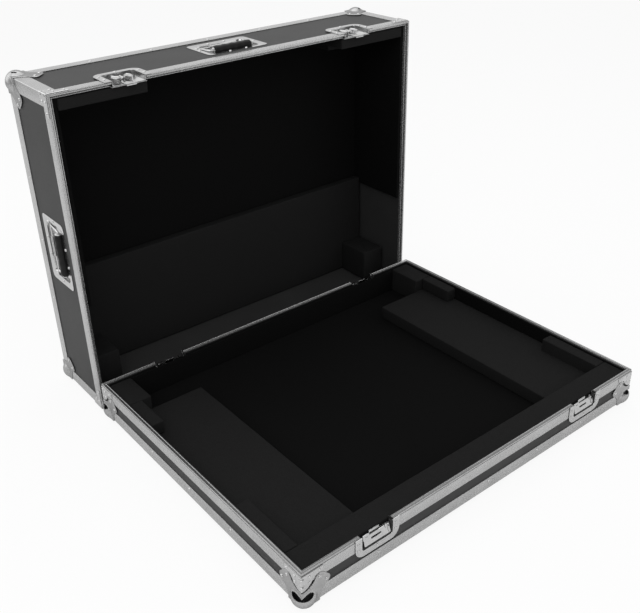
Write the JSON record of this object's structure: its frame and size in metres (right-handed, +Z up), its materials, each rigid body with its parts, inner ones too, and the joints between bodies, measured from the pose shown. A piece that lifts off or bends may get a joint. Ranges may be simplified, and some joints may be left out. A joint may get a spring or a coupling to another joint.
{
  "type": "mixer flight case",
  "caption": "Mixer flight case with aluminium edging, ball corners and recessed latches, its deep lift-off lid stood up behind the foam-lined base tray.",
  "frame": {"origin": "centre of the bounding box's lower face, on the floor under the stood case", "axes": "+Z up, +X to the right along the base's front, the base's front faces -Y"},
  "size_m": [1.02, 1.026, 0.796],
  "materials": {
    "aluminium": "clear anodised extrusion",
    "laminate": "dark grey plastic laminate on plywood",
    "plated_steel": "bright zinc plate on pressed steel",
    "foam": "cut black closed-cell foam",
    "felt": "thin black foam lining",
    "rubber": "moulded black grip"
  },
  "bodies": {
    "base": {"base_bottom_panel": "laminate", "base_front_panel": "laminate", "base_rear_panel": "laminate", "base_left_panel": "laminate", "base_right_panel": "laminate", "base_edge_frame": "aluminium", "base_rim": "aluminium", "base_ball_corner_front_left": "plated_steel", "base_ball_corner_front_right": "plated_steel", "base_ball_corner_rear_left": "plated_steel", "base_ball_corner_rear_right": "plated_steel", "base_brace_front_left": "plated_steel", "base_brace_front_right": "plated_steel", "base_brace_rear_left": "plated_steel", "base_brace_rear_right": "plated_steel", "base_keeper_front_left": "plated_steel", "base_keeper_front_right": "plated_steel", "base_keeper_rear_left": "plated_steel", "base_keeper_rear_right": "plated_steel", "base_foam_floor": "felt", "base_foam_front": "foam", "base_foam_left": "foam", "base_foam_right": "foam"},
    "lid": {"lid_top_panel": "laminate", "lid_front_panel": "laminate", "lid_rear_panel": "laminate", "lid_left_panel": "laminate", "lid_right_panel": "laminate", "lid_edge_frame": "aluminium", "lid_rim": "aluminium", "lid_ball_corner_front_left": "plated_steel", "lid_ball_corner_front_right": "plated_steel", "lid_ball_corner_rear_left": "plated_steel", "lid_ball_corner_rear_right": "plated_steel", "lid_brace_front_left": "plated_steel", "lid_brace_front_right": "plated_steel", "lid_brace_rear_left": "plated_steel", "lid_brace_rear_right": "plated_steel", "lid_latch_dish_front_left": "plated_steel", "lid_latch_dish_front_right": "plated_steel", "lid_latch_dish_rear_left": "plated_steel", "lid_latch_dish_rear_right": "plated_steel", "lid_handle_dish_front": "plated_steel", "lid_handle_dish_left": "plated_steel", "lid_handle_dish_right": "plated_steel", "lid_foam_lining": "felt", "lid_foam_slab": "foam", "lid_foam_pad_left": "foam", "lid_foam_pad_right": "foam"},
    "latch_butterfly_front_left": {"lid_latch_butterfly_front_left": "plated_steel"},
    "latch_hook_front_left": {"lid_latch_hook_front_left": "plated_steel"},
    "latch_butterfly_front_right": {"lid_latch_butterfly_front_right": "plated_steel"},
    "latch_hook_front_right": {"lid_latch_hook_front_right": "plated_steel"},
    "latch_butterfly_rear_left": {"lid_latch_butterfly_rear_left": "plated_steel"},
    "latch_hook_rear_left": {"lid_latch_hook_rear_left": "plated_steel"},
    "latch_butterfly_rear_right": {"lid_latch_butterfly_rear_right": "plated_steel"},
    "latch_hook_rear_right": {"lid_latch_hook_rear_right": "plated_steel"},
    "handle_bail_front": {"lid_handle_bail_front": "rubber"},
    "handle_bail_left": {"lid_handle_bail_left": "rubber"},
    "handle_bail_right": {"lid_handle_bail_right": "rubber"}
  },
  "joints": [
    {"name": "lid_lift_off", "type": "slide", "parent": "base", "child": "lid", "axis": [0, 1, 0], "range_m": [0, 0.3]},
    {"name": "latch_turn_front_left", "type": "hinge", "parent": "lid", "child": "latch_butterfly_front_left", "pos_m": [-0.318, 0.321, 0.786], "axis": [0, 0, 1], "range_deg": [0, 180]},
    {"name": "latch_draw_front_left", "type": "slide", "parent": "lid", "child": "latch_hook_front_left", "axis": [0, 1, 0], "range_m": [0, 0.008]},
    {"name": "latch_turn_front_right", "type": "hinge", "parent": "lid", "child": "latch_butterfly_front_right", "pos_m": [0.318, 0.321, 0.786], "axis": [0, 0, 1], "range_deg": [0, 180]},
    {"name": "latch_draw_front_right", "type": "slide", "parent": "lid", "child": "latch_hook_front_right", "axis": [0, 1, 0], "range_m": [0, 0.008]},
    {"name": "latch_turn_rear_left", "type": "hinge", "parent": "lid", "child": "latch_butterfly_rear_left", "pos_m": [-0.318, 0.321, 0.01], "axis": [0, 0, -1], "range_deg": [0, 180]},
    {"name": "latch_draw_rear_left", "type": "slide", "parent": "lid", "child": "latch_hook_rear_left", "axis": [0, 1, 0], "range_m": [0, 0.008]},
    {"name": "latch_turn_rear_right", "type": "hinge", "parent": "lid", "child": "latch_butterfly_rear_right", "pos_m": [0.318, 0.321, 0.01], "axis": [0, 0, -1], "range_deg": [0, 180]},
    {"name": "latch_draw_rear_right", "type": "slide", "parent": "lid", "child": "latch_hook_rear_right", "axis": [0, 1, 0], "range_m": [0, 0.008]},
    {"name": "handle_lift_front", "type": "hinge", "parent": "lid", "child": "handle_bail_front", "pos_m": [0, 0.426, 0.78], "axis": [-1, 0, 0], "range_deg": [0, 83], "stiffness_Nm_per_rad": 0.3},
    {"name": "handle_lift_left", "type": "hinge", "parent": "lid", "child": "handle_bail_left", "pos_m": [-0.494, 0.426, 0.398], "axis": [0, 0, -1], "range_deg": [0, 83], "stiffness_Nm_per_rad": 0.3},
    {"name": "handle_lift_right", "type": "hinge", "parent": "lid", "child": "handle_bail_right", "pos_m": [0.494, 0.426, 0.398], "axis": [0, 0, 1], "range_deg": [0, 83], "stiffness_Nm_per_rad": 0.3}
  ],
  "couplings": [
    {"joint": "latch_turn_front_left", "follows": "latch_draw_front_left", "rad_per_m": 392.66},
    {"joint": "latch_turn_front_right", "follows": "latch_draw_front_right", "rad_per_m": 392.66},
    {"joint": "latch_turn_rear_left", "follows": "latch_draw_rear_left", "rad_per_m": 392.66},
    {"joint": "latch_turn_rear_right", "follows": "latch_draw_rear_right", "rad_per_m": 392.66}
  ]
}
